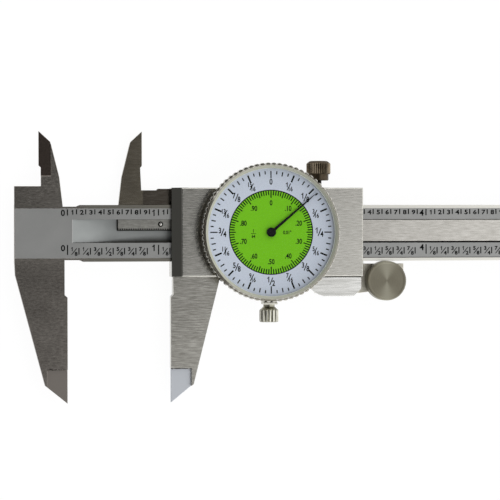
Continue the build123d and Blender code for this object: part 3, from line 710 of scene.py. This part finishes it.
upperScale = {
    "inches": 6, "parts": 10, "fractions": False, "tick": 0.34, "tickLow": 5.3, "tickTop": 6.7,
    "inchLow": 4.95, "inchTop": 6.7, "partLeft": 1.05, "partMiddle": 5.86, "inchLeft": 1.25,
    "inchMiddle": 5.7, "part": {"digit": 1.34, "stretch": 1.22, "bold": 0.038, "line": 0.32},
    "inch": {"digit": 1.8, "stretch": 1.0, "bold": 0.03, "line": 0.32},
}
lowerScale = {
    "inches": 6, "parts": 8, "fractions": True, "tick": 0.33, "tickLow": -5.9, "tickTop": -4.05,
    "inchLow": -5.96, "inchTop": -3.23, "partLeft": 1.27, "partMiddle": -5.03, "inchLeft": 1.25,
    "inchMiddle": -4.09,
    "part": {"digit": 1.14, "stretch": 1.1, "bold": 0.045, "wide": 1.85, "tall": 2.45, "topX": 0.34,
             "lowX": 0.45, "slashX": -0.05, "lean": 0.72, "slash": 0.72, "line": 0.22},
    "inch": {"digit": 1.8, "stretch": 1.0, "bold": 0.03, "line": 0.34},
}


def printScale(look, name):
    count = look["parts"]
    tick = stroke((0, look["tickLow"]), (0, look["tickTop"]), look["tick"])
    longTick = stroke((0, look["inchLow"]), (0, look["inchTop"]), look["tick"])
    small = [fraction(n, count, look["part"]) if look["fractions"] else numeral(str(n), look["part"])
             for n in range(1, count)]
    large = [numeral(str(n), look["inch"]) for n in range(look["inches"] + 1)]
    pieces = []
    for step in range(look["inches"] * count + 1):
        whole, part = divmod(step, count)
        line, label, kind = (tick, small[part - 1], "part") if part else (longTick, large[whole], "inch")
        x = step * inch / count
        pieces.append(printed(line, spot(x, 0, inkHeight)))
        pieces.append(printed(label, spot(x - look[kind + "Left"], look[kind + "Middle"], inkHeight)))
    finishPrint(pieces, [tick, longTick] + small + large, name, "beam", "beam")


dialPrint = {
    "outerReach": 16.98, "longIn": 14.95, "middleIn": 15.75, "shortIn": 16.1, "bold": 0.46, "thin": 0.33,
    "sixteenths": 16, "sixtyFourths": 64, "labelReach": 13.6, "zeroReach": 14.0,
    "zero": {"digit": 1.7, "stretch": 0.78, "bold": 0.026},
    "wide": {"digit": 1.6, "stretch": 0.78, "bold": 0.03, "wide": 2.3, "tall": 2.6, "topX": 0.45,
             "lowX": 0.5, "slashX": 0.0, "lean": 0.42, "slash": 0.8, "line": 0.26},
    "narrow": {"digit": 1.34, "stretch": 0.76, "bold": 0.03, "wide": 2.1, "tall": 2.5, "topX": 0.4,
               "lowX": 0.74, "slashX": -0.2, "lean": 0.5, "slash": 0.76, "line": 0.25},
    "innerReach": 11.6, "hundredths": 100, "innerTicks": (1.35, 1.7, 2.05), "innerTick": 0.31,
    "tenReach": 8.15, "ten": {"digit": 1.5, "stretch": 0.78, "bold": 0.026},
    "unit": {"digit": 1.1, "stretch": 0.78, "bold": 0.026}, "unitX": 4.5, "unitY": -0.05,
    "part": {"digit": 0.99, "stretch": 0.78, "bold": 0.026}, "partX": -4.95, "partY": -0.35,
    "partRise": 0.75, "partBar": 0.7, "partLine": 0.14,
}


def printDial():
    look = dialPrint
    centre = spot(dialX, dialY, dialTop + inkHeight)
    stock, pieces = [], []

    def around(count, pick):            # one line for each step of a full turn
        for step in range(count):
            pieces.append(printed(pick(step), centre, -2 * math.pi * step / count))

    def label(shape, reach, share):     # share of a full turn, clockwise from the top
        stock.append(shape)
        turn = share * 2 * math.pi
        pieces.append(printed(shape, centre + Vector((math.sin(turn), math.cos(turn), 0)) * reach * mm))

    def mark(shape, x, y):
        stock.append(shape)
        pieces.append(printed(shape, centre + Vector((x, y, 0)) * mm))

    for start, width in (("longIn", "bold"), ("longIn", "thin"), ("middleIn", "thin"), ("shortIn", "thin")):
        stock.append(stroke((0, look[start]), (0, look["outerReach"]), look[width]))
    long, slim, middle, short = stock
    inner = [stroke((0, look["innerReach"] - size), (0, look["innerReach"]), look["innerTick"])
             for size in look["innerTicks"]]
    stock += inner
    around(look["sixtyFourths"], lambda step: slim if step % 16 == 0 else long if step % 4 == 0
           else middle if step % 2 == 0 else short)
    around(look["hundredths"], lambda step: inner[2 if step % 10 == 0 else 1 if step % 5 == 0 else 0])
    label(figure("0", look["zero"]), look["zeroReach"], 0)
    count = look["sixteenths"]
    for part in range(1, count):
        size = look["narrow" if part % 2 else "wide"]
        label(fraction(part, count, size), look["labelReach"], part / count)
    for ten in range(10):
        label(figure(".%d0" % ten if ten else "0", look["ten"]), look["tenReach"], ten / 10)
    partX, partY, bar = look["partX"], look["partY"], look["partBar"]
    mark(figure("0.01\"", look["unit"]), look["unitX"], look["unitY"])
    mark(figure("1", look["part"]), partX, partY + look["partRise"])
    mark(stroke((-bar, 0), (bar, 0), look["partLine"]), partX, partY)
    mark(figure("64", look["part"]), partX, partY - look["partRise"])
    finishPrint(pieces, stock, "dial_print", "bezel", "dial_face")


printScale(upperScale, "upper_scale_print")
printScale(lowerScale, "lower_scale_print")
printDial()

# Turned pieces are made about the origin's z axis and then tilted into place
upright = Matrix.Identity(4)
towardTop = Matrix.Rotation(-math.pi / 2, 4, "X")      # the turned axis points along +y
towardBottom = Matrix.Rotation(math.pi / 2, 4, "X")    # the turned axis points along -y
towardBack = Matrix.Rotation(math.pi, 4, "X")          # the turned axis points along -z


def putInPlace(obj, place, tilt, *finish):
    obj.matrix_world = Matrix.Translation(place) @ tilt
    finishPiece(obj, *finish)


def cut(obj, tools):
    # Takes the tools' shapes out of the piece and deletes them
    only(obj)
    for tool in tools:
        step = obj.modifiers.new("Cut", "BOOLEAN")
        step.operation = "DIFFERENCE"
        step.solver = "EXACT"
        step.object = tool
        bpy.ops.object.modifier_apply(modifier=step.name)
    discard(tools)


# Widths of the broken edges, and how steep an edge has to be to be broken; round is for the shading
edges = {"body": 0.08, "plate": 0.15, "thin": 0.1, "bar": 0.08, "sharp": math.radians(28), "round": 14}


def onHead(x, y, z):                    # the fixed jaws' edges and the scale face's long edges
    return abs(y) > 7.6 or (z > -0.1 and abs(y) > 6.5)


def onSlider(x, y, z):                  # the plate's and the moving jaws' edges
    return z > 1.0 or abs(y) > 13.0


def softened(node, name, material, body, width, holes=(), where=None):
    # A copy of the part with its sharp edges broken, as they are before a tool leaves the shop
    def breakable(edge):
        return (len(edge.link_faces) == 2 and edge.calc_face_angle() > edges["sharp"]
                and (where is None or all(where(*local(vert.co)) for vert in edge.verts)))

    obj = bpy.data.objects.new(name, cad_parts[node].data.copy())
    bpy.context.collection.objects.link(obj)
    only(obj)
    bpy.ops.mesh.customdata_custom_splitnormals_clear()
    bpy.ops.object.mode_set(mode="EDIT")
    bpy.ops.mesh.select_all(action="SELECT")
    bpy.ops.mesh.remove_doubles(threshold=1e-6)
    bpy.ops.mesh.normals_make_consistent(inside=False)
    selectWhere(obj, breakable, "EDGE")
    bpy.ops.mesh.bevel(offset=width * mm, segments=1, clamp_overlap=False, loop_slide=False)
    bpy.ops.object.mode_set(mode="OBJECT")
    if holes:
        cut(obj, holes)
    sharpened(obj, edges["round"])
    finishPiece(obj, name, material, body, node, node)


# Countersunk screws: each head lies a little below the face it is driven into
screwShape = {
    "head": 1.35, "neck": 0.75, "deep": 0.75, "sunk": 0.08, "gap": 0.04, "slot": 0.34, "slotDeep": 0.4,
    "rim": 0.12, "sides": 48, "small": 0.85, "tiny": 0.8,
}
# Their places: two coordinates on the face and the slot's turn in degrees
backScrews = ((34.5, 10.3, 20), (77.5, 10.3, 75), (34.5, -10.0, 130), (77.5, -10.0, 55))
bracketScrews = ((73.6, -14.7, 35), (79.4, -14.7, 100))
stopScrews = ((215.4, 2.3, 15), (215.4, -2.3, 80))
gibScrews = ((37.5, -1.9, 40), (54.0, -1.9, 95), (79.0, -1.9, 10))


def screwStock(scale):
    look = screwShape
    head, neck, deep = look["head"] * scale, look["neck"] * scale, look["deep"] * scale
    face = -look["sunk"]
    screw = turned("screw", [(neck, -deep - 0.15), (neck, -deep), (head, face - look["rim"]), (head, face),
                             (0.02, face)], look["sides"])
    slot = (3 * head, look["slot"] * scale, 2 * look["slotDeep"] * scale)
    cut(screw, [block(slot, (0, 0, face * mm))])
    return sharpened(screw, 25)


def holeStock(scale):
    look = screwShape
    head, neck = look["head"] * scale + look["gap"], look["neck"] * scale + look["gap"]
    deep = look["deep"] * scale
    return turned("hole", [(neck, -deep - 0.2), (neck, -deep), (head, -look["sunk"] - 0.1), (head, 0.3)],
                  look["sides"])


def placedCopies(stock, places, tilt):  # each place is a point and a turn in degrees
    copies = [copied(stock, Matrix.Translation(place) @ tilt @ Matrix.Rotation(math.radians(turn), 4, "Z"))
              for place, turn in places]
    discard([stock])
    return copies


def screwedDown(node, name, material, body, width, screws, places, scale=1.0, tilt=towardBack, where=None):
    softened(node, name, material, body, width, placedCopies(holeStock(scale), places, tilt), where)
    finishPiece(grouped(placedCopies(screwStock(scale), places, tilt)), screws, darkFinish, body, node)


def onBack(node, screws):               # the screws' places on a part's back face
    z = cornerOf(node, 0)[2]
    return [(spot(x, y, z), turn) for x, y, turn in screws]


def makeBody():
    small, tiny = screwShape["small"], screwShape["tiny"]
    softened("beam", "beam_body", beamFinish, "beam", edges["body"], where=onHead)
    softened("depth_bar", "depth_bar_body", barFinish, "slider", edges["bar"])
    softened("clamp_shoe", "clamp_shoe_body", clampFinish, "slider", edges["thin"])
    screwedDown("back_plate", "back_plate_body", groundFinish, "slider", edges["plate"],
                "back_plate_screws", onBack("back_plate", backScrews))
    screwedDown("roller_bracket", "roller_bracket_body", bracketFinish, "slider", edges["thin"],
                "bracket_screws", onBack("roller_bracket", bracketScrews), small)
    screwedDown("end_stop", "end_stop_body", plainFinish, "beam", edges["thin"],
                "end_stop_screws", onBack("end_stop", stopScrews), small)
    topY = cornerOf("back_plate", 1)[1]
    screwedDown("slider_frame", "slider_body", frameFinish, "slider", edges["body"], "gib_screws",
                [(spot(x, topY, z), turn) for x, z, turn in gibScrews], tiny, towardTop, onSlider)


def makeRivets():
    # Round heads of the pins that hold the rack, level with its face
    look = rivets
    pin, faceHeight = look["pin"], cornerOf("rack", 1)[2]
    head = turned("rivet", [(pin, -0.4), (pin, 0.0), (pin * 0.6, 0.018), (0.02, 0.02)], 32)
    places = [(spot(look["first"] + n * look["spacing"], look["y"], faceHeight), 0)
              for n in range(look["count"])]
    heads = placedCopies(sharpened(head, 40), places, upright)
    finishPiece(grouped(heads), "rack_rivets", brightFinish, "beam", "rack")


bezelShape = {
    "bore": 17.68, "foot": 7.2, "knurl": 19.35, "knurlTop": 10.2, "edge": 0.12, "coneFoot": 18.9,
    "coneTop": 18.56, "rimTop": 12.0, "round": 0.06, "land": 0.08, "slopeFoot": 11.0,
    "ridges": 74, "cornersEach": 6, "ridgeDepth": 0.42, "band": (-0.15, 0.05),
    "pulls": (((3,), 1.0), ((2, 4), 0.5)),
}


def makeBezel():
    look = bezelShape
    foot, top, knurl, edge = look["foot"], look["knurlTop"], look["knurl"], look["edge"]
    bore, cone, rim, soft = look["bore"], look["coneTop"], look["rimTop"], look["round"]
    profile = [
        (bore, foot), (knurl - edge, foot), (knurl, foot + edge), (knurl, top - edge), (knurl - edge, top),
        (look["coneFoot"], top + 0.02), (cone, rim - soft), (cone - soft, rim),
        (cone - soft - look["land"], rim), (cone - soft - look["land"] - 0.06, rim - 0.05),
        (bore, look["slopeFoot"]), (bore, foot),
    ]
    ring = turned("bezel_ring", profile, look["ridges"] * look["cornersEach"], closed=True)
    ridged(ring, look, knurl, foot - 0.1, top + 0.01)
    sharpened(ring, 30)
    putInPlace(ring, spot(dialX, dialY), upright, "bezel_ring", ringFinish, "bezel", "bezel", "bezel")


lockShape = {
    "threadStart": 9.0, "threadEnd": 12.9, "thread": 1.05, "neckStart": 13.1, "neck": 0.85,
    "collarFoot": 14.82, "collar": 2.84, "knobFoot": 16.56, "knob": 3.4, "knobTop": 20.29, "round": 0.18,
    "topBevel": 0.75, "dish": 1.2, "dishFoot": 1.0, "ridges": 38, "cornersEach": 4, "ridgeDepth": 0.3,
    "band": (-0.05, 0.05), "pulls": (((2,), 1.0), ((1, 3), 0.45)),
}


def makeLockKnob():
    look = lockShape
    knob, top, foot, deep = look["knob"], look["knobTop"], look["knobFoot"], look["ridgeDepth"]
    thread, collar, soft, bevel = look["thread"], look["collar"], look["round"], look["topBevel"]
    profile = [
        (thread * 0.7, look["threadStart"]), (thread, look["threadStart"] + 0.3), (thread, look["threadEnd"]),
        (look["neck"], look["neckStart"]), (look["neck"], look["collarFoot"]),
        (collar - soft, look["collarFoot"]), (collar, look["collarFoot"] + soft), (collar, foot),
        (knob - deep, foot), (knob, foot + deep), (knob, top - bevel), (knob - bevel, top - 0.12),
        (knob - bevel - 0.2, top), (look["dish"], top), (look["dishFoot"], top - 0.12), (0.02, top - 0.16),
    ]
    screw = turned("lock_knob", profile, look["ridges"] * look["cornersEach"])
    ridged(screw, look, knob, foot, top)
    sharpened(screw, 30)
    putInPlace(screw, spot(lockX, 0, lockZ), towardTop, "lock_knob", lockFinish, "lock_screw",
               "lock_screw", "lock_screw")


clampShape = {
    "start": 16.7, "thread": 0.8, "collarStart": 20.05, "collar": 1.6, "coneStart": 20.65,
    "knobStart": 21.4, "knob": 2.7, "knobEnd": 25.0, "round": 0.45, "ridges": 16, "cornersEach": 6,
    "ridgeDepth": 0.32, "band": (-0.47, 0.05), "pulls": (((3,), 1.0), ((2, 4), 0.75)),
}


def makeClampKnob():
    look = clampShape
    knob, start, end, deep = look["knob"], look["knobStart"], look["knobEnd"], look["ridgeDepth"]
    thread, collar, soft = look["thread"], look["collar"], look["round"]
    profile = [
        (thread * 0.7, look["start"]), (thread, look["start"] + 0.3), (thread, look["collarStart"]),
        (collar, look["collarStart"]), (collar, look["coneStart"]), (knob - deep, start),
        (knob, start + deep), (knob, end - soft), (knob - soft * 0.3, end - soft * 0.3),
        (knob - soft, end), (1.0, end), (0.02, end),
    ]
    screw = turned("clamp_knob", profile, look["ridges"] * look["cornersEach"])
    ridged(screw, look, knob, start + 0.1, end + 0.1)
    sharpened(screw, 30)
    putInPlace(screw, spot(dialX, dialY, clampZ), towardBottom, "clamp_knob", clampFinish, "bezel_clamp",
               "bezel_clamp_screw", "bezel_clamp_screw")


rollShape = {
    "radius": 5.6, "top": 1.9, "back": -2.65, "axle": 1.2, "axleEnd": -4.3, "round": 0.3, "land": 0.35,
    "dishEdge": 0.45, "dish": 0.04, "hub": 2.0, "ridges": 90, "cornersEach": 4, "ridgeDepth": 0.12,
    "band": (-0.02, 0.02), "pulls": (((2,), 1.0),),
}


def makeRoller():
    look = rollShape
    radius, top, back, axle = look["radius"], look["top"], look["back"], look["axle"]
    rim, dish = radius - look["round"], top - look["dish"]
    profile = [
        (axle * 0.7, look["axleEnd"]), (axle, look["axleEnd"] + 0.2), (axle, back), (rim, back),
        (radius, back + look["round"]), (radius, top - look["round"]), (rim, top),
        (rim - look["land"], top), (rim - look["dishEdge"], dish), (look["hub"], dish), (0.02, top - 0.05),
    ]
    wheel = turned("roller_wheel", profile, look["ridges"] * look["cornersEach"])
    ridged(wheel, look, radius, back, top)
    sharpened(wheel, 15)
    putInPlace(wheel, spot(rollX, rollY), upright, "roller_wheel", turnedFinish, "roller",
               "thumb_roller", "thumb_roller")


clipShape = {"inner": 1.22, "outer": 2.1, "back": -4.12, "front": -3.84, "mouth": 0.9, "turn": -60}


def makeRollerClip():
    # Spring clip on the axle's end, behind the bracket
    look = clipShape
    inner, outer, back, front = look["inner"], look["outer"], look["back"], look["front"]
    clip = turned("roller_clip", [(inner, back), (outer, back), (outer, front), (inner, front),
                                  (inner, back)], 48, closed=True)
    cut(clip, [block((2 * inner, look["mouth"], 2), (1.5 * inner * mm, 0, back * mm))])
    sharpened(clip, 25)
    putInPlace(clip, spot(rollX, rollY), Matrix.Rotation(math.radians(look["turn"]), 4, "Z"),
               "roller_clip", darkFinish, "slider", "roller_bracket")


handShape = {
    "level": 9.9, "hub": 1.3, "hubRise": 0.5, "round": 0.12, "root": 0.8, "waist": 0.36, "tip": 0.05,
    "waistReach": 13.6, "tipReach": 16.9, "lift": 0.1, "thick": 0.18,
    "turn": 90 - 360 * (opening / inch % 1),
}


def makePointer():
    look = handShape
    level, wide, reach = look["level"], look["hub"], look["waistReach"]
    top = level + look["hubRise"]
    hub = turned("pointer_hub", [(wide, level), (wide, top - look["round"]), (wide - look["round"], top),
                                 (0.4, top), (0.02, top)], 48)
    nothingSelected()
    bpy.ops.mesh.primitive_plane_add(size=1)
    hand = bpy.context.active_object
    hand.scale = (reach * mm, look["root"] * mm, 1)
    hand.location = (reach / 2 * mm, 0, (level + look["lift"]) * mm)
    applied(hand)
    selectWhere(hand, lambda vert: vert.co.x > 0.001)
    bpy.ops.transform.resize(value=(1, look["waist"] / look["root"], 1))
    bpy.ops.mesh.select_mode(type="EDGE")
    tipMove = ((look["tipReach"] - reach) * mm, 0, 0)
    bpy.ops.mesh.extrude_edges_move(TRANSFORM_OT_translate={"value": tipMove})
    bpy.ops.transform.resize(value=(1, look["tip"] / look["waist"], 1))
    bpy.ops.mesh.select_all(action="SELECT")
    bpy.ops.mesh.extrude_region_move(TRANSFORM_OT_translate={"value": (0, 0, look["thick"] * mm)})
    bpy.ops.mesh.select_all(action="SELECT")
    bpy.ops.mesh.normals_make_consistent(inside=False)
    bpy.ops.object.mode_set(mode="OBJECT")
    whole = sharpened(grouped([hub, hand]), 30)
    putInPlace(whole, spot(dialX, dialY), Matrix.Rotation(math.radians(look["turn"]), 4, "Z"),
               "pointer_hand", paintFinish, "pointer", "pointer", "pointer")


makeBody()
makeRivets()
makeBezel()
makeLockKnob()
makeClampKnob()
makeRoller()
makeRollerClip()
makePointer()

# Camera, at the photograph's angle: a little to the left of square on
camera = {
    "yaw": 8.0, "distance": 671.85, "target": (51.171, -4.757, 0.0), "lens": 172.35, "roll": -0.00302,
    "sensor": 36, "near": 0.01,
}


def addCamera():
    yaw, roll = math.radians(camera["yaw"]), camera["roll"]
    right = Vector((math.cos(yaw), 0, math.sin(yaw)))
    up = Vector((0, 1, 0))
    back = right.cross(up)
    right, up = (right * math.cos(roll) + up * math.sin(roll), up * math.cos(roll) - right * math.sin(roll))
    nothingSelected()
    bpy.ops.object.camera_add()
    eye = bpy.context.active_object
    eye.data.lens = camera["lens"]
    eye.data.sensor_width = camera["sensor"]
    eye.data.clip_start = camera["near"]
    turn = Matrix((right, up, back)).transposed().to_4x4()
    eye.matrix_world = Matrix.Translation(spot(*camera["target"]) + back * camera["distance"] * mm) @ turn
    bpy.context.scene.camera = eye


# A bright panel in a dark ceiling, and sides that brighten to the right
light = {
    "zenith": 0.045, "panel": 1.2, "panelEdge": (0.1, 0.21), "lean": 0.7,
    "sideDark": 0.24, "side": 1.25, "sideEdge": (-0.75, -0.1), "sideTop": (0.7, 0.93),
}


def addLight():
    world = bpy.data.worlds.new("studio")
    bpy.context.scene.world = world
    world.use_nodes = True
    tree = world.node_tree
    tree.nodes.clear()
    way = addNode(tree, "ShaderNodeTexCoord", {}, {}, "Generated")
    right, top, up = outlets(addNode(tree, "ShaderNodeSeparateXYZ", {}, {0: way}), 0, 1, 2)
    panel = ease(right - top * light["lean"], *light["panelEdge"])
    above = light["zenith"] + panel * (light["panel"] - light["zenith"])
    side = light["sideDark"] + ease(right, *light["sideEdge"]) * (light["side"] - light["sideDark"])
    level = toward(above, 1 - ease(up, *light["sideTop"]), side)
    seen, = outlets(addNode(tree, "ShaderNodeLightPath"), "Is Camera Ray")
    level = toward(level, seen, 1)
    background = addNode(tree, "ShaderNodeBackground", {}, {"Color": (1, 1, 1, 1), "Strength": level})
    addNode(tree, "ShaderNodeOutputWorld", {}, {"Surface": background})


ground = {"size": 6.0, "matt": (0.9, 0.9, 0.9, 1), "glow": 1.05, "glowPart": 0.9}


def addFloor():
    nothingSelected()
    bpy.ops.mesh.primitive_plane_add(size=ground["size"], location=(0, 0, 0))
    floor = bpy.context.active_object
    floor.name = "studioFloor"
    material, tree = startMaterial("studioFloor")
    seen, glossy, through = outlets(addNode(tree, "ShaderNodeLightPath"),
                                    "Is Camera Ray", "Is Glossy Ray", "Is Transmission Ray")
    anySeen = seen.calc("MAXIMUM", seen.calc("MAXIMUM", seen, glossy), through)
    matt = addNode(tree, "ShaderNodeBsdfDiffuse", {}, {"Color": ground["matt"]})
    glow = addNode(tree, "ShaderNodeEmission", {}, {"Color": (1, 1, 1, 1), "Strength": ground["glow"]})
    mix = addNode(tree, "ShaderNodeMixShader", {}, {0: anySeen * ground["glowPart"], 1: matt, 2: glow})
    addNode(tree, "ShaderNodeOutputMaterial", {}, {"Surface": mix})
    floor.data.materials.append(material)


addCamera()
addLight()
addFloor()
bpy.context.scene.view_settings.view_transform = "Standard"
print("camera, light and floor set")
